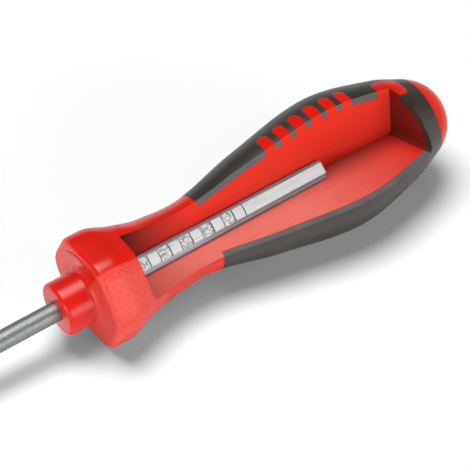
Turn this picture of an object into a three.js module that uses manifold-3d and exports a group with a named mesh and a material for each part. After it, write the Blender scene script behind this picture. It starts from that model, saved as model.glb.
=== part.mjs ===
// Slotted screwdriver with a two-component handle, cut open to show the blade anchored in its core.
// Millimetres. X runs from the tip of the blade to the end of the handle and Z is up.
// The tool lies on one flat of the six-sided shoulder. Stations along the handle count from its nose.
import * as THREE from "three";
import { mergeVertices } from "three/addons/utils/BufferGeometryUtils.js";
import Module from "manifold-3d";

const wasm = await Module();
wasm.setup();

// Blade
const FREE_LENGTH = 125;
const SHANK_D = 5;
const TIP_WIDTH = 5.5;
const TIP_THICKNESS = 1;
const TIP_LAND = 1.5;
const TIP_GRIND = 16;
const TIP_HOLLOW = 1.35;
const FLARE_WIDTH = 6.2;
const FLARE_PEAK = 4.5;
const FLARE_LENGTH = 13;
const FLARE_ROOT = 2.5;
const FLARE_THICKNESS = 2;
const ANCHOR_FLATS = 5;
const ANCHOR_START = 12;
const ANCHOR_END = 78;
const ANCHOR_ROLL = 40;
const SCALLOP_COUNT = 5;
const SCALLOP_FIRST = 23.75;
const SCALLOP_PITCH = 6.25;
const SCALLOP_LENGTH = 3.2;
const SCALLOP_DEPTH = 0.22;

// Handle: nose, six-sided shoulder, waist, belly and domed end
const HANDLE_LENGTH = 115.2;
const NOSE_D = 14;
const NOSE_LENGTH = 8.2;
const NOSE_EDGE = 1;
const NOSE_FILLET = 1.4;
const FACE_R = 12.1;
const FACE_STEP = 0.2;
const SHOULDER_HALF = 14;
const SHOULDER_CORNER = 7.3;
const SHOULDER_EDGE = 1.35;
const SHOULDER_LAND = 3.5;
const FLANK_AT = 21.1;
const FLANK_HALF = 11.8;
const FLANK_CORNER = 7.5;
const THROAT_AT = 27.8;
const THROAT_HALF = 10.6;
const WAIST_AT = 37.3;
const WAIST_HALF = 9.8;
const RISE_AT = 58.3;
const RISE_HALF = 13.7;
const RISE_CORNER = 11.6;
const BELLY_AT = 81.8;
const BELLY_HALF = 17.1;
const BELLY_CORNER = 13.3;
const HEEL_AT = 100.2;
const HEEL_HALF = 13.6;
const HEEL_CORNER = 10.9;
const DOME_AT = 108.3;
const DOME_HALF = 10.5;
const DOME_CORNER = 9.7;
const DOME_FULLNESS = 0.59;
const DOME_END_R = 0.4;

// Soft grip moulded round the belly
const GRIP_FRONT = 42;
const GRIP_WALL = 2.2;
const GRIP_FRONT_SLANT = 0.7;

// Window cut through one side of the handle
const WINDOW_FRONT = 20.1;
const WINDOW_REAR = 101.3;
const WINDOW_REAR_RAKE = 11;
const WALL_Y = 1.3;
const CORNER_Z = -2;
const FLOOR_RISE = 10;

// Pads of the core that come through the grip, flush with it
const PAD_COUNT = 6;
const PAD_FIRST = 64.8;
const PAD_PITCH = 4.65;
const PAD_WIDTH = 2.9;
const PAD_REACH = 5;
const FIELD_FRONT = 97.3;
const FIELD_REAR = 105;
const FIELD_NEAR = 2.1;
const FIELD_FAR = 5.3;
const FIELD_CORNER = 2;

// Clearance between pieces that are moulded round each other
const FIT_GAP = 0.25;

// Fineness of the curved surfaces
const CORNER_STEPS = 8;
const CORNER_SWEEP = 58;
const ROUND_STEPS = 4;
const NECK_STEPS = 11;
const BELLY_STEPS = 22;
const SHANK_SIDES = 32;
const ROLLER_SIDES = 64;
const MERGE_TOLERANCE = 1e-4;

const NOSE_X = FREE_LENGTH;
const SIDES = 6 * (CORNER_STEPS + 1);
// Well past the handle on every side
const SPAN = 4 * BELLY_HALF;
// A height inside the core, under the grip
const PAD_FOOT = BELLY_HALF / 4;

// A closed geometry as a solid for joining and cutting
function solid(geometry) {
  const bare = geometry.clone();
  bare.deleteAttribute("normal");
  bare.deleteAttribute("uv");
  const merged = mergeVertices(bare, MERGE_TOLERANCE);
  return new wasm.Manifold(
    new wasm.Mesh({
      numProp: 3,
      vertProperties: new Float32Array(merged.attributes.position.array),
      triVerts: new Uint32Array(merged.index.array),
    }),
  );
}

// A solid back to a geometry with flat faces
function geometryOf(body) {
  const mesh = body.getMesh();
  const indexed = new THREE.BufferGeometry();
  indexed.setAttribute("position", new THREE.BufferAttribute(new Float32Array(mesh.vertProperties), 3));
  indexed.setIndex(new THREE.BufferAttribute(new Uint32Array(mesh.triVerts), 1));
  const flat = indexed.toNonIndexed();
  flat.computeVertexNormals();
  return flat;
}

// A smooth curve through points that never swings past them
function curveThrough(points) {
  const steps = points.slice(1).map((p, i) => (p[1] - points[i][1]) / (p[0] - points[i][0]));
  const tangents = points.map((p, i) => {
    if (i === 0 || i === points.length - 1) {
      return i === 0 ? 0 : steps[i - 1];
    }
    const product = steps[i - 1] * steps[i];
    return product <= 0 ? 0 : (2 * product) / (steps[i - 1] + steps[i]);
  });
  return (x) => {
    let i = 0;
    while (i < points.length - 2 && x > points[i + 1][0]) {
      i += 1;
    }
    const width = points[i + 1][0] - points[i][0];
    const t = (x - points[i][0]) / width;
    const u = 1 - t;
    return (
      points[i][1] * (1 + 2 * t) * u * u +
      points[i + 1][1] * (1 + 2 * u) * t * t +
      width * t * u * (tangents[i] * u - tangents[i + 1] * t)
    );
  };
}

const landStart = NOSE_LENGTH + FACE_STEP + SHOULDER_EDGE;
const landEnd = landStart + SHOULDER_LAND;
const halfWidth = curveThrough([
  [landEnd, SHOULDER_HALF],
  [FLANK_AT, FLANK_HALF],
  [THROAT_AT, THROAT_HALF],
  [WAIST_AT, WAIST_HALF],
  [RISE_AT, RISE_HALF],
  [BELLY_AT, BELLY_HALF],
  [HEEL_AT, HEEL_HALF],
  [DOME_AT, DOME_HALF],
]);
const cornerRadius = curveThrough([
  [landEnd, SHOULDER_CORNER],
  [FLANK_AT, FLANK_CORNER],
  [THROAT_AT, THROAT_HALF],
  [WAIST_AT, WAIST_HALF],
  [RISE_AT, RISE_CORNER],
  [BELLY_AT, BELLY_CORNER],
  [HEEL_AT, HEEL_CORNER],
  [DOME_AT, DOME_CORNER],
]);

// One ring of the handle: station from the nose, half width across flats, corner radius
const ring = (at, half, corner) => ({ at, half, corner });
const roundRing = (at, radius) => ring(at, radius, radius);

// Values from 0 to 1 in even steps
const even = (steps) => Array.from({ length: steps + 1 }, (_, i) => i / steps);
const quarter = even(ROUND_STEPS).map((t) => (t * Math.PI) / 2);

// A hexagon with rounded corners: its points lie on the corners and its flats run straight between them
function ringPoints({ at, half, corner }) {
  const round = Math.min(corner, half);
  const centre = (half - round) / Math.cos(Math.PI / 6);
  const sweep = THREE.MathUtils.degToRad(CORNER_SWEEP);
  return Array.from({ length: 6 }, (_, i) => {
    const middle = Math.PI / 6 + (i * Math.PI) / 3;
    return even(CORNER_STEPS).map((t) => {
      const turn = middle + (t - 0.5) * sweep;
      const out = centre * Math.sin(middle) + round * Math.sin(turn);
      return [NOSE_X + at, -out, centre * Math.cos(middle) + round * Math.cos(turn)];
    });
  }).flat();
}

// A skin over rings: closed by its end faces, or looped back to its first ring
function loft(rings, looped) {
  const position = rings.flatMap((r) => ringPoints(r).flat());
  const index = [];
  const bands = looped ? rings.length : rings.length - 1;
  for (let b = 0; b < bands; b += 1) {
    const low = b * SIDES;
    const high = ((b + 1) % rings.length) * SIDES;
    for (let i = 0; i < SIDES; i += 1) {
      const j = (i + 1) % SIDES;
      index.push(low + i, low + j, high + j, low + i, high + j, high + i);
    }
  }
  if (!looped) {
    const last = (rings.length - 1) * SIDES;
    const hub = rings.length * SIDES;
    position.push(NOSE_X + rings[0].at, 0, 0, NOSE_X + rings[rings.length - 1].at, 0, 0);
    for (let i = 0; i < SIDES; i += 1) {
      const j = (i + 1) % SIDES;
      index.push(hub, j, i, hub + 1, last + i, last + j);
    }
  }
  const geometry = new THREE.BufferGeometry();
  geometry.setAttribute("position", new THREE.Float32BufferAttribute(position, 3));
  geometry.setIndex(index);
  return geometry;
}

// Rings of the handle's outer skin between two stations, drawn in by an inset
function skin(from, to, steps, inset) {
  return even(steps).map((t) => {
    const at = from + (to - from) * t;
    const half = halfWidth(at);
    return ring(at, half - inset, Math.min(cornerRadius(at), half) - inset);
  });
}

function noseRings() {
  const noseR = NOSE_D / 2;
  const edge = quarter.map((a) =>
    roundRing(NOSE_EDGE * (1 - Math.sin(a)), noseR - NOSE_EDGE * (1 - Math.cos(a))),
  );
  const fillet = quarter.map((a) =>
    roundRing(NOSE_LENGTH - NOSE_FILLET * (1 - Math.sin(a)), noseR + NOSE_FILLET * (1 - Math.cos(a))),
  );
  return [...edge.reverse(), ...fillet, roundRing(NOSE_LENGTH, FACE_R), roundRing(NOSE_LENGTH + FACE_STEP, FACE_R)];
}

function shoulderRings() {
  return quarter.map((a) => {
    const inset = SHOULDER_EDGE * (1 - Math.sin(a));
    return ring(landStart - SHOULDER_EDGE * Math.cos(a), SHOULDER_HALF - inset, SHOULDER_CORNER - inset);
  });
}

// The dome narrows from the grip's rear edge to the end of the handle
function domeRings() {
  const steps = 2 * ROUND_STEPS;
  const length = HANDLE_LENGTH - DOME_AT;
  const slope = (halfWidth(DOME_AT) - halfWidth(DOME_AT - 1)) * length;
  return even(steps)
    .slice(0, -1)
    .map((t) => {
      const round = Math.pow(1 - t ** 2, DOME_FULLNESS);
      const half = DOME_HALF * round + slope * t * (1 - t) * round;
      return ring(DOME_AT + length * t, half, DOME_CORNER + (half - DOME_CORNER) * t);
    });
}

// The whole handle, or the core alone with a seat as deep as the inset under the grip
function handleRings(inset) {
  const seatFront = GRIP_FRONT + (inset > 0 ? GRIP_FRONT_SLANT : 0);
  const seat = skin(seatFront, DOME_AT, BELLY_STEPS, inset);
  return [
    ...noseRings(),
    ...shoulderRings(),
    ...skin(landEnd, GRIP_FRONT, NECK_STEPS, 0),
    ...(inset > 0 ? seat : seat.slice(1, -1)),
    ...domeRings(),
    roundRing(HANDLE_LENGTH, DOME_END_R),
  ];
}

function gripRings() {
  const front = GRIP_FRONT + FIT_GAP;
  const rear = DOME_AT - FIT_GAP;
  const outer = skin(front, rear, BELLY_STEPS, 0);
  const inner = skin(front + GRIP_FRONT_SLANT, rear, BELLY_STEPS, GRIP_WALL - FIT_GAP);
  return [...outer, ...inner.reverse()];
}

// A flat outline drawn in X and Y, standing along Z
function standing(points, bottom, top) {
  const outline = new THREE.Shape(points.map(([x, y]) => new THREE.Vector2(x, y)));
  const geometry = new THREE.ExtrudeGeometry(outline, { depth: top - bottom, bevelEnabled: false });
  geometry.translate(0, 0, bottom);
  return geometry;
}

// A flat outline drawn in Y and Z, running along X
function running(points, from, to) {
  const outline = new THREE.Shape(points.map(([y, z]) => new THREE.Vector2(y, z)));
  const geometry = new THREE.ExtrudeGeometry(outline, { depth: to - from, bevelEnabled: false });
  geometry.applyMatrix4(new THREE.Matrix4().set(0, 0, 1, from, 1, 0, 0, 0, 0, 1, 0, 0, 0, 0, 0, 1));
  return geometry;
}

// A rectangle with rounded corners, drawn in X and Y
function roundedRectangle(x0, x1, y0, y1, r) {
  const corners = [
    [x1 - r, y0 + r, -Math.PI / 2],
    [x1 - r, y1 - r, 0],
    [x0 + r, y1 - r, Math.PI / 2],
    [x0 + r, y0 + r, Math.PI],
  ];
  return corners.flatMap(([cx, cy, turn]) =>
    quarter.map((a) => [cx + r * Math.cos(a + turn), cy + r * Math.sin(a + turn)]),
  );
}

// The window: an upright wall behind the blade, a rising floor below it and square ends
function windowCut() {
  const rake = Math.tan(THREE.MathUtils.degToRad(WINDOW_REAR_RAKE));
  const rise = Math.tan(THREE.MathUtils.degToRad(FLOOR_RISE));
  const front = NOSE_X + WINDOW_FRONT;
  const rearAt = (y) => NOSE_X + WINDOW_REAR - y * rake;
  const plan = standing(
    [
      [front, -SPAN],
      [rearAt(-SPAN), -SPAN],
      [rearAt(WALL_Y), WALL_Y],
      [front, WALL_Y],
    ],
    -SPAN,
    SPAN,
  );
  const wedge = running(
    [
      [WALL_Y, CORNER_Z],
      [WALL_Y, SPAN],
      [-SPAN, SPAN],
      [-SPAN, CORNER_Z + (WALL_Y + SPAN) * rise],
    ],
    NOSE_X,
    NOSE_X + 2 * HANDLE_LENGTH,
  );
  return solid(plan).intersect(solid(wedge));
}

// Upright columns in the places where the core comes through the grip
function padColumns(grow) {
  const pads = Array.from({ length: PAD_COUNT }, (_, i) => {
    const x = NOSE_X + PAD_FIRST + i * PAD_PITCH;
    const half = PAD_WIDTH / 2 + grow;
    return standing(
      roundedRectangle(x - half, x + half, WALL_Y - PAD_WIDTH - grow, WALL_Y + PAD_REACH + grow, half),
      PAD_FOOT,
      SPAN,
    );
  });
  const field = standing(
    roundedRectangle(
      NOSE_X + FIELD_FRONT - grow,
      NOSE_X + FIELD_REAR + grow,
      -FIELD_NEAR - grow,
      FIELD_FAR + grow,
      FIELD_CORNER + grow,
    ),
    PAD_FOOT,
    SPAN,
  );
  return [...pads, field].map(solid).reduce((all, one) => all.add(one));
}

// A bar of hexagonal section along X, one flat turned toward the window
function hexagonBar(flats, from, to) {
  const corner = flats / 2 / Math.cos(Math.PI / 6);
  const points = Array.from({ length: 6 }, (_, i) => {
    const angle = THREE.MathUtils.degToRad(ANCHOR_ROLL + 30 - 60 * i);
    return [-corner * Math.sin(angle), corner * Math.cos(angle)];
  });
  return solid(running(points, from, to));
}

// A round bar along X
function roundBar(radius, from, to) {
  const geometry = new THREE.CylinderGeometry(radius, radius, to - from, SHANK_SIDES);
  geometry.rotateZ(-Math.PI / 2);
  geometry.translate((from + to) / 2, 0, 0);
  return solid(geometry);
}

// The shank and its anchor, grown by a clearance for the bore round it
function bladeBlank(from, grow) {
  const anchorStart = NOSE_X + ANCHOR_START - grow;
  const shank = roundBar(SHANK_D / 2 + grow, from, anchorStart + SHANK_D);
  const anchor = hexagonBar(ANCHOR_FLATS + 2 * grow, anchorStart, NOSE_X + ANCHOR_END + grow);
  return shank.add(anchor);
}

// A slab across the tip whose thickness follows a side outline
function tipSides() {
  const halfTip = TIP_THICKNESS / 2;
  const halfShank = SHANK_D / 2;
  const beyond = NOSE_X + HANDLE_LENGTH;
  const face = even(2 * ROUND_STEPS).map((t) => [
    TIP_LAND + (TIP_GRIND - TIP_LAND) * t,
    halfTip + (halfShank - halfTip) * Math.pow(t, TIP_HOLLOW),
  ]);
  const upper = [[0, halfTip], ...face, [TIP_GRIND, SHANK_D], [beyond, SHANK_D]];
  const lower = upper.map(([x, z]) => [x, -z]).reverse();
  const outline = new THREE.Shape([...lower, ...upper].map(([x, z]) => new THREE.Vector2(x, z)));
  const width = FLARE_WIDTH + SHANK_D;
  const geometry = new THREE.ExtrudeGeometry(outline, { depth: width, bevelEnabled: false });
  geometry.rotateX(Math.PI / 2);
  geometry.translate(0, width / 2, 0);
  return solid(geometry);
}

// The forged flare, widest a little behind the tip
function tipFlare() {
  const edge = curveThrough([
    [0, TIP_WIDTH / 2],
    [FLARE_PEAK, FLARE_WIDTH / 2],
    [FLARE_LENGTH, FLARE_ROOT / 2],
  ]);
  const far = even(2 * ROUND_STEPS).map((t) => [FLARE_LENGTH * t, edge(FLARE_LENGTH * t)]);
  const near = far.map(([x, y]) => [x, -y]).reverse();
  return solid(standing([...near, ...far].reverse(), -FLARE_THICKNESS / 2, FLARE_THICKNESS / 2));
}

// Shallow scallops pressed across the anchor's two flats on the window's line of sight
function scallops() {
  const radius = (SCALLOP_LENGTH ** 2 / 4 + SCALLOP_DEPTH ** 2) / (2 * SCALLOP_DEPTH);
  const lift = ANCHOR_FLATS / 2 - SCALLOP_DEPTH + radius;
  const turn = THREE.MathUtils.degToRad(ANCHOR_ROLL);
  const cuts = [];
  for (let i = 0; i < SCALLOP_COUNT; i += 1) {
    for (const side of [1, -1]) {
      const roller = new THREE.CylinderGeometry(radius, radius, ANCHOR_FLATS, ROLLER_SIDES);
      roller.translate(NOSE_X + SCALLOP_FIRST + i * SCALLOP_PITCH, 0, side * lift);
      roller.rotateX(turn);
      cuts.push(solid(roller));
    }
  }
  return cuts.reduce((all, one) => all.add(one));
}

const opening = windowCut();
const wholeHandle = solid(loft(handleRings(0), false));
const seatedCore = solid(loft(handleRings(GRIP_WALL), false));

const blade = bladeBlank(0, 0).add(tipFlare()).intersect(tipSides()).subtract(scallops());
const core = seatedCore
  .add(wholeHandle.intersect(padColumns(0)))
  .subtract(opening)
  .subtract(bladeBlank(NOSE_X - SHANK_D, FIT_GAP));
const grip = solid(loft(gripRings(), true)).subtract(opening).subtract(padColumns(FIT_GAP));

const steel = new THREE.MeshStandardMaterial({ color: 0xc4c8ca, roughness: 0.3, metalness: 1 });
const redPlastic = new THREE.MeshStandardMaterial({ color: 0xd6261c, roughness: 0.42, metalness: 0 });
const softRubber = new THREE.MeshStandardMaterial({ color: 0x47453f, roughness: 0.75, metalness: 0 });

function piece(name, body, material) {
  const mesh = new THREE.Mesh(geometryOf(body), material);
  mesh.name = name;
  return mesh;
}

const screwdriver = new THREE.Group();
screwdriver.add(
  piece("blade", blade, steel),
  piece("handle_core", core, redPlastic),
  piece("soft_grip", grip, softRubber),
);

export default screwdriver;
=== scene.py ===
"""Dresses the cut-open slotted screwdriver: smooth skins, moulded and milled plastic, soft grip, steel."""
import math

import bmesh
import bpy
from mathutils import Matrix, Vector


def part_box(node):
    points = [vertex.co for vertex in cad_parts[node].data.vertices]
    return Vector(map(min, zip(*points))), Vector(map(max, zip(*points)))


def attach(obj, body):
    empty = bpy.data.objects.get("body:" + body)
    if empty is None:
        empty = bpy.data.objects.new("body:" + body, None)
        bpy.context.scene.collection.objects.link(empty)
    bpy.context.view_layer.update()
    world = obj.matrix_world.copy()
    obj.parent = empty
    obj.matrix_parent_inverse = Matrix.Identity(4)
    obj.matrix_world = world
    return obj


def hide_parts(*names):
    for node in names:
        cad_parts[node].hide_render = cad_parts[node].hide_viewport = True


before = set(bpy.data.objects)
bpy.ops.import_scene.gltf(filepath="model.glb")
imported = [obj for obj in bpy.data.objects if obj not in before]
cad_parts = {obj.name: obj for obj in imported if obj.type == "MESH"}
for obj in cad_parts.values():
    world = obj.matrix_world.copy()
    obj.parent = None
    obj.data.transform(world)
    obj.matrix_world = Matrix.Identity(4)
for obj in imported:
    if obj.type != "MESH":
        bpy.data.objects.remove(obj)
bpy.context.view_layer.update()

MM = 0.001

# Sizes in millimetres that the frame gives
core_low, core_high = (corner / MM for corner in map(Vector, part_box("handle_core")))
grip_low, grip_high = (corner / MM for corner in map(Vector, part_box("soft_grip")))
_, blade_high = (corner / MM for corner in map(Vector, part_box("blade")))
NOSE_X = core_low.x
HANDLE_LENGTH = core_high.x - core_low.x
BELLY_HALF = grip_high.z
ANCHOR_END = blade_high.x - NOSE_X
JOINT_GAP = 0.25
GRIP_FRONT = grip_low.x - NOSE_X - JOINT_GAP
DOME_AT = grip_high.x - NOSE_X + JOINT_GAP

# Handle, along its axis from the nose
NOSE_D = 14.0
NOSE_LENGTH = 8.2
NOSE_EDGE = 1.0
NOSE_FILLET = 1.4
FACE_R = 12.1
FACE_STEP = 0.2
SHOULDER_HALF = 14.0
SHOULDER_CORNER = 7.3
SHOULDER_EDGE = 1.35
SHOULDER_LAND = 3.5
FLANK_AT = 21.1
FLANK_HALF = 11.8
FLANK_CORNER = 7.5
THROAT_AT = 27.8
THROAT_HALF = 10.6
WAIST_AT = 37.3
WAIST_HALF = 9.8
RISE_AT = 58.3
RISE_HALF = 13.7
RISE_CORNER = 11.6
BELLY_AT = 81.8
BELLY_CORNER = 13.3
HEEL_AT = 100.2
HEEL_HALF = 13.6
HEEL_CORNER = 10.9
DOME_HALF = 10.5
DOME_CORNER = 9.7
DOME_FULLNESS = 0.59
GRIP_WALL = 2.2
GRIP_FRONT_SLANT = 0.7
GRIP_GAP = 0.04
BORE_CLEARANCE = 0.06

# Window
WINDOW_FRONT = 20.1
WINDOW_REAR = 101.3
WINDOW_REAR_RAKE = math.radians(11.0)
WINDOW_FRONT_FILLET = 2.5
WINDOW_REAR_FILLET = 1.0
FILLET_STEPS = 8
WALL_Y = 1.3
CORNER_Z = -2.0
FLOOR_RISE = math.radians(10.0)

# Pads of the core that show through the grip
PAD_COUNT = 6
PAD_FIRST = 64.8
PAD_PITCH = 4.65
PAD_WIDTH = 2.9
PAD_REACH = 5.0
FIELD_FRONT = 97.3
FIELD_REAR = 105.0
FIELD_NEAR = 2.1
FIELD_FAR = 5.3
FIELD_CORNER = 2.0
PAD_FOOT = BELLY_HALF / 4

# Blade
SHANK_D = 5.0
TIP_WIDTH = 5.5
TIP_THICKNESS = 1.0
TIP_LAND = 1.5
TIP_GRIND = 16.0
TIP_HOLLOW = 1.35
FLARE_WIDTH = 6.2
FLARE_PEAK = 4.5
FLARE_LENGTH = 13.0
FLARE_ROOT = 2.5
FLARE_THICKNESS = 2.0
ANCHOR_FLATS = 5.0
ANCHOR_START = 12.0
ANCHOR_ROLL = math.radians(40.0)
CELL_COUNT = 5
CELL_FIRST = 23.75
CELL_PITCH = 6.25
CELL_LENGTH = 3.2
CELL_DEPTH = 0.16
CELL_BOW = 0.5
GROOVE_AT = 53.5
GROOVE_WIDTH = 0.28
GROOVE_DEPTH = 0.3

# Fineness
CORNER_STEPS = 16
CORNER_SWEEP = math.radians(58.0)
STATION_STEP = 0.6
SLOPE_STEP = 1.0
ROUND_STEPS = 8
DOME_STEPS = 24
TIP_STEPS = 24
CELL_STEPS = 12
SHANK_SIDES = 96
SMOOTH_LIMIT = math.radians(32.0)
MERGE_REACH = 1e-5
WELD_REACH = 0.01

# Directions of a hexagon's corners
HALF_SIDE_TURN = math.pi / 6
CORNER_TURNS = [HALF_SIDE_TURN + i * math.pi / 3 for i in range(6)]

# A length that reaches past the handle from anywhere in it
SPAN = 4 * BELLY_HALF

# How squarely a face looks along a direction to count as facing it
FACING = 0.5
FLAT_FACING = 0.9

# Material slots of the window's cutter, after the wall's
FLOOR_FINISH = 1
END_FINISH = 2


def steps_of(count):
    return [i / count for i in range(count + 1)]


QUARTER = [t * math.pi / 2 for t in steps_of(ROUND_STEPS)]


def curve_through(points):
    """A smooth curve through points that never swings past them."""
    slopes = [(b[1] - a[1]) / (b[0] - a[0]) for a, b in zip(points, points[1:])]
    tangents = [0.0]
    for before, after in zip(slopes, slopes[1:]):
        product = before * after
        tangents.append(0.0 if product <= 0 else 2 * product / (before + after))
    tangents.append(slopes[-1])

    def value(x):
        i = 0
        while i < len(points) - 2 and x > points[i + 1][0]:
            i += 1
        width = points[i + 1][0] - points[i][0]
        t = (x - points[i][0]) / width
        u = 1 - t
        ends = points[i][1] * (1 + 2 * t) * u * u + points[i + 1][1] * (1 + 2 * u) * t * t
        return ends + width * t * u * (tangents[i] * u - tangents[i + 1] * t)

    return value


LAND_START = NOSE_LENGTH + FACE_STEP + SHOULDER_EDGE
LAND_END = LAND_START + SHOULDER_LAND
half_width = curve_through([
    (LAND_END, SHOULDER_HALF),
    (FLANK_AT, FLANK_HALF),
    (THROAT_AT, THROAT_HALF),
    (WAIST_AT, WAIST_HALF),
    (RISE_AT, RISE_HALF),
    (BELLY_AT, BELLY_HALF),
    (HEEL_AT, HEEL_HALF),
    (DOME_AT, DOME_HALF),
])
roundness = curve_through([
    (LAND_END, SHOULDER_CORNER / SHOULDER_HALF),
    (FLANK_AT, FLANK_CORNER / FLANK_HALF),
    (THROAT_AT, 1.0),
    (WAIST_AT, 1.0),
    (RISE_AT, RISE_CORNER / RISE_HALF),
    (BELLY_AT, BELLY_CORNER / BELLY_HALF),
    (HEEL_AT, HEEL_CORNER / HEEL_HALF),
    (DOME_AT, DOME_CORNER / DOME_HALF),
])


def ring_points(at, half, corner):
    """A hexagon with rounded corners across the handle's axis."""
    rounding = min(corner, half)
    centre = (half - rounding) / math.cos(HALF_SIDE_TURN)
    points = []
    for middle in CORNER_TURNS:
        for t in steps_of(CORNER_STEPS):
            turn = middle + (t - 0.5) * CORNER_SWEEP
            out = centre * math.sin(middle) + rounding * math.sin(turn)
            up = centre * math.cos(middle) + rounding * math.cos(turn)
            points.append(Vector((NOSE_X + at, -out, up)))
    return points


def skin(start, end, inset):
    """Rings of the handle's outer skin between two stations, drawn in by an inset."""
    count = max(2, round((end - start) / STATION_STEP))
    rings = []
    for t in steps_of(count):
        at = start + (end - start) * t
        half = half_width(at)
        rings.append(ring_points(at, half - inset, half * roundness(at) - inset))
    return rings


def nose_rings():
    radius = NOSE_D / 2
    rings = []
    for a in reversed(QUARTER):
        r = radius - NOSE_EDGE * (1 - math.cos(a))
        rings.append(ring_points(NOSE_EDGE * (1 - math.sin(a)), r, r))
    for a in QUARTER:
        r = radius + NOSE_FILLET * (1 - math.cos(a))
        rings.append(ring_points(NOSE_LENGTH - NOSE_FILLET * (1 - math.sin(a)), r, r))
    rings.append(ring_points(NOSE_LENGTH, FACE_R, FACE_R))
    rings.append(ring_points(NOSE_LENGTH + FACE_STEP, FACE_R, FACE_R))
    return rings


def shoulder_rings():
    rings = []
    for a in QUARTER:
        inset = SHOULDER_EDGE * (1 - math.sin(a))
        at = LAND_START - SHOULDER_EDGE * math.cos(a)
        rings.append(ring_points(at, SHOULDER_HALF - inset, SHOULDER_CORNER - inset))
    return rings


def dome_rings():
    length = HANDLE_LENGTH - DOME_AT
    slope = (half_width(DOME_AT) - half_width(DOME_AT - SLOPE_STEP)) / SLOPE_STEP * length
    rings = []
    for a in [t * math.pi / 2 for t in steps_of(DOME_STEPS)][:-1]:
        t = math.sin(a)
        fullness = (1 - t * t) ** DOME_FULLNESS
        half = DOME_HALF * fullness + slope * t * (1 - t) * fullness
        rings.append(ring_points(DOME_AT + length * t, half, DOME_CORNER + (half - DOME_CORNER) * t))
    return rings


def handle_rings(inset):
    seat_front = GRIP_FRONT + (GRIP_FRONT_SLANT if inset else 0.0)
    front = skin(LAND_END, GRIP_FRONT, 0.0)
    seat = skin(seat_front, DOME_AT, inset)
    if not inset:
        seat = seat[1:-1]
    return nose_rings() + shoulder_rings() + front + seat + dome_rings()


def grip_rings(gap):
    outer = skin(GRIP_FRONT + gap, DOME_AT - gap, 0.0)
    inner = skin(GRIP_FRONT + GRIP_FRONT_SLANT + gap, DOME_AT - gap, GRIP_WALL - gap)
    return outer + inner[::-1]


def object_of(name, mesh_builder, material):
    """A new object in metres from a mesh that is built in millimetres."""
    mesh = bpy.data.meshes.new(name)
    bm = bmesh.new()
    mesh_builder(bm)
    bmesh.ops.remove_doubles(bm, verts=bm.verts, dist=MERGE_REACH)
    bmesh.ops.recalc_face_normals(bm, faces=bm.faces)
    bmesh.ops.scale(bm, vec=(MM, MM, MM), verts=bm.verts)
    bm.to_mesh(mesh)
    bm.free()
    mesh.materials.append(material)
    piece = bpy.data.objects.new(name, mesh)
    bpy.context.collection.objects.link(piece)
    return piece


def add_loft(bm, rings, looped):
    """Bands between rings, with the ends closed or joined to each other."""
    rows = [[bm.verts.new(p) for p in ring] for ring in rings]
    bands = list(zip(rows, rows[1:]))
    if looped:
        bands.append((rows[-1], rows[0]))
    for low, high in bands:
        for i in range(len(low)):
            j = (i + 1) % len(low)
            bm.faces.new((low[i], low[j], high[j], high[i]))
    if not looped:
        bm.faces.new(rows[0])
        bm.faces.new(rows[-1][::-1])


def add_prism(bm, outline, shift):
    """A flat outline carried along a shift, as a closed solid."""
    add_loft(bm, [outline, [p + shift for p in outline]], False)


def combine(piece, tool, operation):
    """Joins or cuts a piece with a tool, which is then deleted."""
    change = piece.modifiers.new("change", "BOOLEAN")
    change.operation = operation
    change.solver = "EXACT"
    change.material_mode = "TRANSFER"
    change.object = tool
    graph = bpy.context.evaluated_depsgraph_get()
    changed = bpy.data.meshes.new_from_object(piece.evaluated_get(graph))
    piece.modifiers.clear()
    old = piece.data
    piece.data = changed
    changed.name = old.name
    bpy.data.meshes.remove(old)
    bpy.data.objects.remove(tool)


def weld(piece):
    """Closes the slivers that cuts close to an edge leave behind."""
    bm = bmesh.new()
    bm.from_mesh(piece.data)
    bmesh.ops.remove_doubles(bm, verts=bm.verts, dist=WELD_REACH * MM)
    bmesh.ops.dissolve_degenerate(bm, edges=bm.edges, dist=WELD_REACH * MM)
    bm.to_mesh(piece.data)
    bm.free()


def rounded_rectangle(x0, x1, y0, y1, r):
    corners = [(x1 - r, y0 + r, -0.5), (x1 - r, y1 - r, 0.0), (x0 + r, y1 - r, 0.5), (x0 + r, y0 + r, 1.0)]
    points = []
    for cx, cy, half_turns in corners:
        for a in QUARTER:
            turn = a + half_turns * math.pi
            points.append(Vector((cx + r * math.cos(turn), cy + r * math.sin(turn), 0.0)))
    return points


def window_cutter(wall, floor, end):
    """The wedge that opens the handle, each cut face with its own finish."""
    rake = math.tan(WINDOW_REAR_RAKE)
    rise = math.tan(FLOOR_RISE)

    def corner(front, y, z):
        x = WINDOW_FRONT if front else WINDOW_REAR - y * rake
        return Vector((NOSE_X + x, y, z))

    mouth_z = CORNER_Z + (WALL_Y + SPAN) * rise
    section = [(WALL_Y, CORNER_Z), (WALL_Y, SPAN), (-SPAN, SPAN), (-SPAN, mouth_z)]
    front = [corner(True, y, z) for y, z in section]
    rear = [corner(False, y, z) for y, z in section]
    cutter = object_of("window", lambda bm: add_loft(bm, [front, rear], False), wall)
    cutter.data.materials.append(floor)
    cutter.data.materials.append(end)
    for face in cutter.data.polygons:
        if abs(face.normal.x) > FACING:
            face.material_index = END_FINISH
        elif face.normal.z < -FACING:
            face.material_index = FLOOR_FINISH
    round_off(cutter, WINDOW_FRONT_FILLET, FLOOR_FINISH, at_front=True)
    round_off(cutter, WINDOW_REAR_FILLET, END_FINISH, at_front=False)
    return cutter


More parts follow.
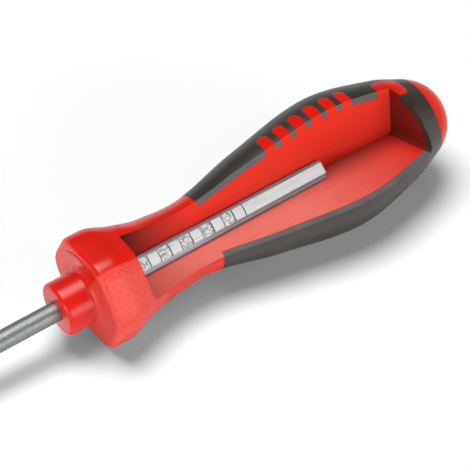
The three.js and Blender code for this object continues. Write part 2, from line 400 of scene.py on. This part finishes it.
def round_off(cutter, radius, finish, at_front):
    """A fillet between the window's floor and one of its ends."""
    halfway = (NOSE_X + (WINDOW_FRONT + WINDOW_REAR) / 2) * MM
    bm = bmesh.new()
    bm.from_mesh(cutter.data)
    foot = []
    for edge in bm.edges:
        finishes = {face.material_index for face in edge.link_faces}
        middle = (edge.verts[0].co.x + edge.verts[1].co.x) / 2
        if finishes == {FLOOR_FINISH, END_FINISH} and (middle < halfway) == at_front:
            foot.append(edge)
    bmesh.ops.bevel(
        bm,
        geom=foot,
        offset=radius * MM,
        segments=FILLET_STEPS,
        profile=0.5,
        affect="EDGES",
        material=finish,
    )
    bm.to_mesh(cutter.data)
    bm.free()


def pad_columns(grow, material):
    """Upright columns that the pads are cut from: a row of bars and one field behind them."""
    foot = Vector((0, 0, PAD_FOOT))
    up = Vector((0, 0, SPAN))
    near = WALL_Y - PAD_WIDTH
    far = WALL_Y + PAD_REACH + grow
    half = PAD_WIDTH / 2 + grow

    def build(bm):
        for i in range(PAD_COUNT):
            x = NOSE_X + PAD_FIRST + i * PAD_PITCH
            bar = rounded_rectangle(x - half, x + half, near, far, half)
            add_prism(bm, [p + foot for p in bar], up)
        field = rounded_rectangle(
            NOSE_X + FIELD_FRONT - grow,
            NOSE_X + FIELD_REAR + grow,
            -FIELD_NEAR - grow,
            FIELD_FAR + grow,
            FIELD_CORNER + grow,
        )
        add_prism(bm, [p + foot for p in field], up)

    return object_of("pads", build, material)


def finish_piece(piece, node):
    """Smooth shading up to the real edges, and the piece's place in the frame."""
    mesh = piece.data
    mesh.polygons.foreach_set("use_smooth", [True] * len(mesh.polygons))
    mesh.set_sharp_from_angle(angle=SMOOTH_LIMIT)
    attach(piece, "root")
    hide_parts(node)


# Shader nodes

def new_material(name, base, roughness, metallic=0.0):
    material = bpy.data.materials.new(name)
    material.use_nodes = True
    shader = material.node_tree.nodes["Principled BSDF"]
    shader.inputs["Base Color"].default_value = (*base, 1.0)
    shader.inputs["Roughness"].default_value = roughness
    shader.inputs["Metallic"].default_value = metallic
    return material, shader


def add_node(material, kind, **inputs):
    node = material.node_tree.nodes.new(kind)
    for name, value in inputs.items():
        node.inputs[name.replace("_", " ")].default_value = value
    return node


def link(material, source, target):
    material.node_tree.links.new(source, target)


def place(material):
    """Places in the row frame, in millimetres."""
    coordinates = material.node_tree.nodes.new("ShaderNodeTexCoord")
    return stretched(material, coordinates.outputs["Object"], 1 / MM, 1 / MM, 1 / MM)


def noise(material, where, size, detail):
    """Even noise whose grains are about a size in millimetres."""
    node = add_node(material, "ShaderNodeTexNoise", Scale=1 / size, Detail=detail)
    link(material, where, node.inputs["Vector"])
    return node.outputs["Fac"]


def ramp(material, source, stops):
    node = material.node_tree.nodes.new("ShaderNodeValToRGB")
    elements = node.color_ramp.elements
    while len(elements) < len(stops):
        elements.new(0.5)
    for element, (at, colour) in zip(elements, stops):
        element.position = at
        element.color = (*colour, 1.0)
    link(material, source, node.inputs["Fac"])
    return node.outputs["Color"]


def span(material, source, low, high):
    node = add_node(material, "ShaderNodeMapRange", To_Min=low, To_Max=high)
    link(material, source, node.inputs["Value"])
    return node.outputs["Result"]


def multiply(material, a, b):
    node = material.node_tree.nodes.new("ShaderNodeMath")
    node.operation = "MULTIPLY"
    for value, socket in ((a, node.inputs[0]), (b, node.inputs[1])):
        if isinstance(value, float):
            socket.default_value = value
        else:
            link(material, value, socket)
    return node.outputs["Value"]


def bump(material, shader, height, strength, distance):
    node = add_node(material, "ShaderNodeBump", Strength=strength, Distance=distance * MM)
    link(material, height, node.inputs["Height"])
    link(material, node.outputs["Normal"], shader.inputs["Normal"])


def stretched(material, where, x, y, z):
    node = material.node_tree.nodes.new("ShaderNodeVectorMath")
    node.operation = "MULTIPLY"
    node.inputs[1].default_value = (x, y, z)
    link(material, where, node.inputs[0])
    return node.outputs["Vector"]


def along(material, where, axis):
    node = material.node_tree.nodes.new("ShaderNodeSeparateXYZ")
    link(material, where, node.inputs["Vector"])
    return node.outputs[axis]


def between(material, source, start, end, soft):
    """1 from start to end, falling to 0 over a soft edge."""
    rise = add_node(material, "ShaderNodeMapRange", From_Min=start - soft, From_Max=start)
    fall = add_node(material, "ShaderNodeMapRange", From_Min=end, From_Max=end + soft)
    fall.inputs["To Min"].default_value = 1.0
    fall.inputs["To Max"].default_value = 0.0
    for node in (rise, fall):
        node.interpolation_type = "SMOOTHSTEP"
        link(material, source, node.inputs["Value"])
    return multiply(material, rise.outputs["Result"], fall.outputs["Result"])


def blended(material, share, a, b):
    """Colour a where the share is 0, and b where it is 1."""
    mix = material.node_tree.nodes.new("ShaderNodeMix")
    mix.data_type = "RGBA"
    link(material, share, mix.inputs["Factor"])
    link(material, a, mix.inputs["A"])
    link(material, b, mix.inputs["B"])
    return mix.outputs["Result"]


def tinted(material, colour, tone):
    """A colour multiplied by a tone."""
    mix = material.node_tree.nodes.new("ShaderNodeMix")
    mix.data_type = "RGBA"
    mix.blend_type = "MULTIPLY"
    mix.inputs["Factor"].default_value = 1.0
    link(material, colour, mix.inputs["A"])
    link(material, tone, mix.inputs["B"])
    return mix.outputs["Result"]


# Finishes

WHITE = (1.0, 1.0, 1.0)
RED_DEEP = (0.60, 0.010, 0.005)
RED = (0.70, 0.014, 0.007)
# Pale speckles of the grain: partly the grain itself, partly a painted sheen.
RED_GRAIN_SHEEN = (0.76, 0.105, 0.08)
WALL_RED = (0.83, 0.030, 0.015)
WALL_STREAK = (0.85, 0.036, 0.019)
# The milled floor is a paler red than the milled wall: painted light on the face that looks up.
FLOOR_LIT_RED = (0.80, 0.14, 0.11)
FLOOR_LIT_STREAK = (0.83, 0.19, 0.15)
# The window's end faces are a dark red: painted shade.
END_SHADED_RED = (0.20, 0.010, 0.006)
END_SHADED_STREAK = (0.24, 0.014, 0.009)
RUBBER_DARK = (0.014, 0.010, 0.005)
RUBBER_LIGHT = (0.026, 0.020, 0.011)
CUT_DARK = (0.09, 0.092, 0.087)
CUT_LIGHT = (0.13, 0.133, 0.128)
STEEL_DARK = (0.18, 0.195, 0.18)
STEEL = (0.31, 0.325, 0.31)
BRIGHT_DARK = (0.91, 0.91, 0.91)
BRIGHT = (0.92, 0.92, 0.91)
BRIGHT_LIGHT = (0.98, 0.98, 0.97)
DRAWN_DARK = (0.16, 0.16, 0.19)
DRAWN_GREY = (0.42, 0.42, 0.46)
DRAWN = (0.5, 0.5, 0.52)
DRAWN_LIGHT = (0.70, 0.70, 0.74)
PRESSED = (0.8, 0.8, 0.79)
PRESSED_DARK = (0.42, 0.43, 0.43)
PRESSED_LIGHT = (0.93, 0.93, 0.92)

# Painted shade that the milled faces are multiplied by: in inner corners, at the window's front end (the
# shoulder's shadow), at its rear end
WALL_SHADES = [(0.97, 0.93, 0.93), (0.05, 0.04, 0.04), WHITE]
FLOOR_SHADES = [(0.76, 0.42, 0.39), (0.62, 0.40, 0.38), (0.84, 0.13, 0.09)]
END_SHADES = [(0.70, 0.60, 0.60), WHITE, WHITE]
FRONT_FADE = 20.0
REAR_FADE = 34.0
CORNER_REACH = 40.0
CORNER_SAMPLES = 8
CORNER_CLOSED = 0.24
CORNER_OPEN = 0.60

GRAIN_SIZE = 0.45
GRAIN_FADE = 4.0
FLAT_EDGE = (-0.3, 0.5)
NOSE_SHINE = 0.28
DOME_SHINE = 0.10
DOME_SHINE_FROM = 60.0
MILLED_ROUGHNESS = 0.43


def moulded_plastic(name, shine):
    """Hard red plastic as it leaves the mould, grained round the shoulder but for its polished top flat."""
    material, shader = new_material(name, RED, roughness=0.30)
    shader.inputs["Specular IOR Level"].default_value = shine
    where = place(material)
    grain = noise(material, where, size=GRAIN_SIZE, detail=3.0)
    station = along(material, where, "X")
    shoulder = between(material, station, NOSE_X + LAND_START, NOSE_X + FLANK_AT, soft=GRAIN_FADE)
    grained = multiply(material, shoulder, off_top_flat(material, where))
    cloud = noise(material, where, size=9.0, detail=2.0)
    smooth = ramp(material, cloud, [(0.3, RED_DEEP), (0.7, RED)])
    # Grain speckles, paler in part as a painted sheen.
    speckled = ramp(material, grain, [(0.25, RED), (0.75, RED_GRAIN_SHEEN)])
    link(material, blended(material, grained, smooth, speckled), shader.inputs["Base Color"])
    roughened = multiply(material, grain, grained)
    link(material, span(material, roughened, low=0.26, high=0.62), shader.inputs["Roughness"])
    bump(material, shader, roughened, strength=0.55, distance=0.14)
    return material


def off_top_flat(material, where):
    """0 on the shoulder's top flat, between its two corners, and 1 on the other flats."""
    aside = add_node(material, "ShaderNodeMath")
    aside.operation = "ABSOLUTE"
    link(material, along(material, where, "Y"), aside.inputs[0])
    corner = multiply(material, along(material, where, "Z"), math.tan(HALF_SIDE_TURN))
    past = add_node(material, "ShaderNodeMath")
    past.operation = "SUBTRACT"
    link(material, aside.outputs["Value"], past.inputs[0])
    link(material, corner, past.inputs[1])
    edge = add_node(material, "ShaderNodeMapRange", From_Min=FLAT_EDGE[0], From_Max=FLAT_EDGE[1])
    link(material, past.outputs["Value"], edge.inputs["Value"])
    return edge.outputs["Result"]


def milled_plastic(name, base, streak, painted_shades, shine):
    """Red plastic where it was milled open: faint streaks, and painted shade that deepens the colour in
    corners and at both ends.
    """
    material, shader = new_material(name, base, MILLED_ROUGHNESS)
    shader.inputs["Specular IOR Level"].default_value = shine
    where = place(material)
    streaks = noise(material, stretched(material, where, x=0.25, y=4.0, z=4.0), size=1.6, detail=3.0)
    colour = ramp(material, streaks, [(0.3, base), (0.75, streak)])
    # Painted shade: first in corners, then at the window's front and rear ends
    corner, front, rear = painted_shades
    corner_shaded_colour = corner_shaded(material, colour, corner)
    end_shaded_colour = tinted(material, corner_shaded_colour, end_shade(material, where, front, rear))
    link(material, end_shaded_colour, shader.inputs["Base Color"])
    matt = span(material, streaks, low=MILLED_ROUGHNESS - 0.06, high=MILLED_ROUGHNESS + 0.08)
    link(material, matt, shader.inputs["Roughness"])
    bump(material, shader, streaks, strength=0.05, distance=0.04)
    return material


def end_shade(material, where, front, rear):
    """Painted shade at the window's ends: a tone that fades to white away from each end of the window."""
    share = add_node(
        material,
        "ShaderNodeMapRange",
        From_Min=NOSE_X + WINDOW_FRONT,
        From_Max=NOSE_X + WINDOW_REAR,
    )
    link(material, along(material, where, "X"), share.inputs["Value"])
    length = WINDOW_REAR - WINDOW_FRONT
    stops = [(0.0, front), (FRONT_FADE / length, WHITE), (1.0 - REAR_FADE / length, WHITE), (1.0, rear)]
    return ramp(material, share.outputs["Result"], stops)


def corner_shaded(material, colour, tone):
    """Painted shade: a colour that deepens where faces close in on each other."""
    open_share = add_node(material, "ShaderNodeAmbientOcclusion", Distance=CORNER_REACH * MM)
    open_share.samples = CORNER_SAMPLES
    shade = ramp(material, open_share.outputs["AO"], [(CORNER_CLOSED, tone), (CORNER_OPEN, WHITE)])
    return tinted(material, colour, shade)


def soft_rubber(name, dark, light, roughness, shine):
    material, shader = new_material(name, light, roughness)
    shader.inputs["Specular IOR Level"].default_value = shine
    where = place(material)
    cloud = noise(material, where, size=6.0, detail=4.0)
    link(material, ramp(material, cloud, [(0.3, dark), (0.7, light)]), shader.inputs["Base Color"])
    grain = noise(material, where, size=0.2, detail=2.0)
    matt = span(material, grain, low=roughness - 0.08, high=roughness + 0.10)
    link(material, matt, shader.inputs["Roughness"])
    bump(material, shader, grain, strength=0.25, distance=0.05)
    return material


def satin_steel(name):
    """The shank and the tip, and the grooves under a name of their own, whose darker steel against the
    bright anchor is painted shade.
    """
    material, shader = new_material(name, STEEL, roughness=0.36, metallic=1.0)
    where = place(material)
    lines = noise(material, stretched(material, where, x=0.08, y=3.0, z=3.0), size=0.6, detail=3.0)
    grain = noise(material, where, size=0.5, detail=4.0)
    link(material, ramp(material, grain, [(0.3, STEEL_DARK), (0.7, STEEL)]), shader.inputs["Base Color"])
    link(material, span(material, lines, low=0.46, high=0.62), shader.inputs["Roughness"])
    bump(material, shader, grain, strength=0.15, distance=0.03)
    return material


def bright_steel():
    """The anchor's pressed flat and its end."""
    material, shader = new_material("bright steel", BRIGHT, roughness=0.24, metallic=0.35)
    where = place(material)
    streaks = noise(material, stretched(material, where, x=0.15, y=1.0, z=1.0), size=1.2, detail=2.0)
    shades = [(0.3, BRIGHT_DARK), (0.7, BRIGHT_LIGHT)]
    link(material, ramp(material, streaks, shades), shader.inputs["Base Color"])
    link(material, span(material, streaks, low=0.22, high=0.36), shader.inputs["Roughness"])
    return material


def drawn_steel():
    """Side flats of the anchor: left as drawn, with dark and light lines along them."""
    material, shader = new_material("drawn steel", DRAWN, roughness=0.35, metallic=0.15)
    where = place(material)
    lines = noise(material, stretched(material, where, x=0.02, y=1.0, z=1.0), size=0.9, detail=1.0)
    shades = [(0.36, DRAWN_DARK), (0.48, DRAWN_LIGHT), (0.64, DRAWN_GREY)]
    link(material, ramp(material, lines, shades), shader.inputs["Base Color"])
    return material


def pressed_steel():
    """Bottoms of the pressed cells: rough, with the press tool's torn ridges."""
    material, shader = new_material("pressed steel", PRESSED, roughness=0.4, metallic=0.45)
    where = place(material)
    ridges = noise(material, where, size=1.2, detail=2.0)
    shades = [(0.43, PRESSED_LIGHT), (0.48, PRESSED_DARK), (0.52, PRESSED_DARK), (0.57, PRESSED_LIGHT)]
    link(material, ramp(material, ridges, shades), shader.inputs["Base Color"])
    link(material, span(material, ridges, low=0.25, high=0.5), shader.inputs["Roughness"])
    bump(material, shader, ridges, strength=0.35, distance=0.25)
    return material


# Pieces

def refinish(piece, old, choose):
    """Swaps one finish of a piece for the one chosen face by face, or keeps it where none is chosen."""
    finishes = list(piece.data.materials)
    for face in piece.data.polygons:
        if finishes[face.material_index] == old:
            new = choose(face)
            if new:
                face.material_index = finishes.index(new)


def build_core():
    moulded = moulded_plastic("moulded red plastic", NOSE_SHINE)
    dull = moulded_plastic("dull red plastic", DOME_SHINE)
    wall = milled_plastic("milled wall", WALL_RED, WALL_STREAK, WALL_SHADES, shine=0.12)
    # The floor's paler red is painted light.
    floor = milled_plastic("lit milled floor", FLOOR_LIT_RED, FLOOR_LIT_STREAK, FLOOR_SHADES, shine=0.3)
    # The end faces' dark red is painted shade.
    end = milled_plastic("shaded milled end", END_SHADED_RED, END_SHADED_STREAK, END_SHADES, shine=0.1)
    core = object_of("core", lambda bm: add_loft(bm, handle_rings(GRIP_WALL), False), moulded)
    pads = object_of("pads_skin", lambda bm: add_loft(bm, handle_rings(0.0), False), moulded)
    combine(pads, pad_columns(0.0, moulded), "INTERSECT")
    combine(core, pads, "UNION")
    combine(core, window_cutter(wall, floor, end), "DIFFERENCE")
    combine(core, blade_blank("bore", BORE_CLEARANCE, wall), "DIFFERENCE")
    core.data.materials.append(dull)
    dull_from = (NOSE_X + DOME_SHINE_FROM) * MM
    refinish(core, moulded, lambda face: dull if face.center.x > dull_from else None)
    finish_piece(core, "handle_core")
    core.visible_diffuse = False


def build_grip():
    skin_rubber = soft_rubber("soft rubber", RUBBER_DARK, RUBBER_LIGHT, roughness=0.43, shine=0.65)
    cut = soft_rubber("cut rubber", CUT_DARK, CUT_LIGHT, roughness=0.55, shine=0.5)
    # The grip's cut faces at the window's ends take the dark skin rubber: painted shade.
    shaded_cut_end = soft_rubber("shaded cut end", RUBBER_DARK, RUBBER_LIGHT, roughness=0.6, shine=0.5)
    grip = object_of("grip", lambda bm: add_loft(bm, grip_rings(GRIP_GAP), True), skin_rubber)
    combine(grip, window_cutter(cut, cut, shaded_cut_end), "DIFFERENCE")
    combine(grip, pad_columns(GRIP_GAP, cut), "DIFFERENCE")
    finish_piece(grip, "soft_grip")


def round_outline(x, radius):
    turns = [2 * math.pi * i / SHANK_SIDES for i in range(SHANK_SIDES)]
    return [Vector((x, -radius * math.sin(a), radius * math.cos(a))) for a in turns]


def hexagon_outline(x, flats):
    corner = flats / 2 / math.cos(HALF_SIDE_TURN)
    turns = [ANCHOR_ROLL + turn for turn in CORNER_TURNS]
    return [Vector((x, -corner * math.sin(a), corner * math.cos(a))) for a in turns]


def blade_blank(name, grow, material):
    """Shank and anchor, grown by a clearance for the bore round them."""
    start = NOSE_X + ANCHOR_START - grow
    circle = round_outline(-grow, SHANK_D / 2 + grow)
    hexagon = hexagon_outline(start, ANCHOR_FLATS + 2 * grow)
    shank_run = Vector((start + SHANK_D + grow, 0, 0))
    anchor_run = Vector((NOSE_X + ANCHOR_END + grow - start, 0, 0))
    shank = object_of(name, lambda bm: add_prism(bm, circle, shank_run), material)
    anchor = object_of("anchor", lambda bm: add_prism(bm, hexagon, anchor_run), material)
    combine(shank, anchor, "UNION")
    return shank


def mirrored(outline):
    """One half of an outline, followed by its mirror image on the way back."""
    return outline + [(x, -y) for x, y in outline[::-1]]


def tip_slab(material):
    """All that the hollow grinding leaves: a thin tip that swells to more than the shank's thickness."""
    half_tip = TIP_THICKNESS / 2
    half_shank = SHANK_D / 2
    upper = [(0.0, half_tip)]
    for t in steps_of(TIP_STEPS):
        x = TIP_LAND + (TIP_GRIND - TIP_LAND) * t
        upper.append((x, half_tip + (half_shank - half_tip) * t ** TIP_HOLLOW))
    upper += [(TIP_GRIND, SHANK_D), (NOSE_X + HANDLE_LENGTH, SHANK_D)]
    outline = [Vector((x, -SHANK_D, z)) for x, z in mirrored(upper)]
    return object_of("slab", lambda bm: add_prism(bm, outline, Vector((0, 2 * SHANK_D, 0))), material)


def tip_flare(material):
    """The widened blank that the tip is ground from."""
    edge = curve_through([
        (0.0, TIP_WIDTH / 2),
        (FLARE_PEAK, FLARE_WIDTH / 2),
        (FLARE_LENGTH, FLARE_ROOT / 2),
    ])
    far = [(FLARE_LENGTH * t, edge(FLARE_LENGTH * t)) for t in steps_of(TIP_STEPS)]
    outline = [Vector((x, y, -FLARE_THICKNESS / 2)) for x, y in mirrored(far)]
    return object_of("flare", lambda bm: add_prism(bm, outline, Vector((0, 0, FLARE_THICKNESS))), material)


def cell_cutter(x, length, depth, material):
    """A pocket across one flat of the anchor, bowed at both ends."""
    reach = ANCHOR_FLATS / 2 / math.cos(HALF_SIDE_TURN)
    near = []
    for t in steps_of(CELL_STEPS):
        across = 2 * t - 1
        near.append((x - length / 2 + CELL_BOW * (1 - across ** 2), reach * across))
    far = [(px + length, py) for px, py in near[::-1]]
    base = ANCHOR_FLATS / 2 - depth
    outline = [Vector((px, py, base)) for px, py in near + far]
    cutter = object_of("cell", lambda bm: add_prism(bm, outline, Vector((0, 0, ANCHOR_FLATS))), material)
    cutter.data.transform(Matrix.Rotation(ANCHOR_ROLL, 4, "X"))
    return cutter


def press_cells(blade, pressed, scored):
    """A row of pressed cells with a groove at each end, and one groove behind them."""
    for i in range(CELL_COUNT):
        x = NOSE_X + CELL_FIRST + i * CELL_PITCH
        combine(blade, cell_cutter(x, CELL_LENGTH, CELL_DEPTH, pressed), "DIFFERENCE")
        # The grooves' darker satin steel is painted shade in the grooves.
        for end in (x - CELL_LENGTH / 2, x + CELL_LENGTH / 2):
            combine(blade, cell_cutter(end, GROOVE_WIDTH, GROOVE_DEPTH, scored), "DIFFERENCE")
    combine(blade, cell_cutter(NOSE_X + GROOVE_AT, GROOVE_WIDTH, GROOVE_DEPTH, scored), "DIFFERENCE")
    weld(blade)


def build_blade():
    satin = satin_steel("satin steel")
    bright = bright_steel()
    drawn = drawn_steel()
    pressed = pressed_steel()
    # Darker steel for the grooves: painted shade.
    scored = satin_steel("groove steel in painted shade")
    blade = blade_blank("blade_steel", 0.0, satin)
    combine(blade, tip_flare(satin), "UNION")
    combine(blade, tip_slab(satin), "INTERSECT")
    press_cells(blade, pressed, scored)
    blade.data.materials.append(bright)
    blade.data.materials.append(drawn)
    anchor_from = (NOSE_X + ANCHOR_START) * MM
    pressed_side = Vector((0.0, -math.sin(ANCHOR_ROLL), math.cos(ANCHOR_ROLL)))

    def anchor_finish(face):
        if face.center.x <= anchor_from:
            return None
        sideways = abs(face.normal.x) < FACING and face.normal.dot(pressed_side) < FLAT_FACING
        return drawn if sideways else bright

    refinish(blade, satin, anchor_finish)
    finish_piece(blade, "blade")


# Studio

TARGET_AT = 48.74
PIXELS_PER_MM = 4.045
IMAGE_SIZE = 470
TARGET_PIXEL = (223.62, 220.86)
EYE_DISTANCE = 671.0
VIEW_AZIMUTH = math.radians(-30.0)
VIEW_ELEVATION = math.radians(46.0)
VIEW_ROLL = math.radians(-5.8)
SENSOR_WIDTH = 36.0
NEAREST_SEEN = 0.01

FLOOR_SIZE = 6000.0
FLOOR_COLOUR = (0.93, 0.94, 0.94)
FLOOR_GLOW = 0.04

COVE_TOP = math.radians(5.0)
CEILING_FROM = math.radians(13.0)
CEILING_LEVEL = 0.03

# Each lamp's name, direction from the part, size in metres and power
LAMPS = [
    ("overhead", (-0.02, 0.14, 0.98), 0.8, 14.6),
    ("front low", (0.30, -0.93, 0.06), 1.0, 12.0),
    ("left low", (-0.95, -0.30, 0.0), 0.6, 16.0),
]
LAMP_DISTANCE = 1.2
LAMPS_AIM_AT = 0.06


def build_camera():
    """The photograph's view: the aim is the point that shows in the middle of the picture."""
    level = math.cos(VIEW_ELEVATION)
    ahead = -math.cos(VIEW_AZIMUTH) * level
    toward = Vector((math.sin(VIEW_AZIMUTH) * level, ahead, math.sin(VIEW_ELEVATION)))
    across = Vector((math.cos(VIEW_AZIMUTH), math.sin(VIEW_AZIMUTH), 0.0))
    above = toward.cross(across)
    right = across * math.cos(VIEW_ROLL) + above * math.sin(VIEW_ROLL)
    up = toward.cross(right)
    target = Vector((NOSE_X + TARGET_AT, 0.0, 0.0))
    eye = target + toward * EYE_DISTANCE
    aside = (IMAGE_SIZE / 2 - TARGET_PIXEL[0]) / PIXELS_PER_MM
    below = (IMAGE_SIZE / 2 - TARGET_PIXEL[1]) / PIXELS_PER_MM
    aim = target + right * aside - up * below
    back = (eye - aim).normalized()
    right = (right - back * right.dot(back)).normalized()
    up = back.cross(right)
    turn = Matrix((right, up, back)).transposed().to_4x4()
    lens = bpy.data.cameras.new("view")
    lens.sensor_width = SENSOR_WIDTH
    lens.lens = SENSOR_WIDTH * EYE_DISTANCE * PIXELS_PER_MM / IMAGE_SIZE
    lens.clip_start = NEAREST_SEEN
    camera = bpy.data.objects.new("view", lens)
    camera.matrix_world = Matrix.Translation(eye * MM) @ turn
    bpy.context.collection.objects.link(camera)
    bpy.context.scene.camera = camera


def floor_material():
    """Pale board with a little glow of its own in the picture and in reflections, which makes it white."""
    material, shader = new_material("pale floor", FLOOR_COLOUR, roughness=0.9)
    shader.inputs["Specular IOR Level"].default_value = 0.0
    shader.inputs["Emission Color"].default_value = (*WHITE, 1.0)
    path = add_node(material, "ShaderNodeLightPath")
    seen = path.outputs["Is Camera Ray"]
    for kind in ("Is Glossy Ray", "Is Transmission Ray"):
        either = add_node(material, "ShaderNodeMath")
        either.operation = "MAXIMUM"
        link(material, seen, either.inputs[0])
        link(material, path.outputs[kind], either.inputs[1])
        seen = either.outputs["Value"]
    link(material, span(material, seen, low=0.0, high=FLOOR_GLOW), shader.inputs["Emission Strength"])
    return material


def build_floor():
    """A pale sheet that touches the shoulder and the belly, as a bench does."""
    shoulder = Vector((NOSE_X + LAND_END, 0.0, -SHOULDER_HALF))
    belly = Vector((NOSE_X + BELLY_AT, 0.0, -BELLY_HALF))
    lean = (belly - shoulder).normalized()
    side = Vector((0.0, 1.0, 0.0))
    half = FLOOR_SIZE / 2
    corners = [belly + lean * a * half + side * b * half for a, b in ((-1, -1), (1, -1), (1, 1), (-1, 1))]
    floor = object_of(
        "floor",
        lambda bm: bm.faces.new([bm.verts.new(p) for p in corners]),
        floor_material(),
    )


def build_world():
    """A white cove round the horizon under a dim ceiling."""
    world = bpy.data.worlds.new("studio")
    world.use_nodes = True
    nodes = world.node_tree.nodes
    links = world.node_tree.links
    direction = nodes.new("ShaderNodeTexCoord")
    height = nodes.new("ShaderNodeSeparateXYZ")
    fade = nodes.new("ShaderNodeMapRange")
    fade.interpolation_type = "SMOOTHSTEP"
    fade.inputs["From Min"].default_value = math.sin(COVE_TOP)
    fade.inputs["From Max"].default_value = math.sin(CEILING_FROM)
    fade.inputs["To Min"].default_value = 1.0
    fade.inputs["To Max"].default_value = CEILING_LEVEL
    links.new(direction.outputs["Generated"], height.inputs["Vector"])
    links.new(height.outputs["Z"], fade.inputs["Value"])
    links.new(fade.outputs["Result"], nodes["Background"].inputs["Strength"])
    nodes["Background"].inputs["Color"].default_value = (*WHITE, 1.0)
    bpy.context.scene.world = world


def build_lamps():
    """A large lamp overhead that makes the shadow, and two low ones, before and to the left."""
    middle = Vector((NOSE_X * MM + LAMPS_AIM_AT, 0.0, 0.0))
    for name, direction, size, power in LAMPS:
        at = middle + Vector(direction).normalized() * LAMP_DISTANCE
        lamp = bpy.data.lights.new(name, "AREA")
        lamp.shape = "DISK"
        lamp.size = size
        lamp.energy = power
        light = bpy.data.objects.new(name, lamp)
        light.location = at
        light.rotation_euler = (middle - at).to_track_quat("-Z", "Y").to_euler()
        bpy.context.collection.objects.link(light)


build_core()
build_grip()
build_blade()
build_floor()
build_world()
build_lamps()
build_camera()
bpy.context.scene.view_settings.view_transform = "Standard"
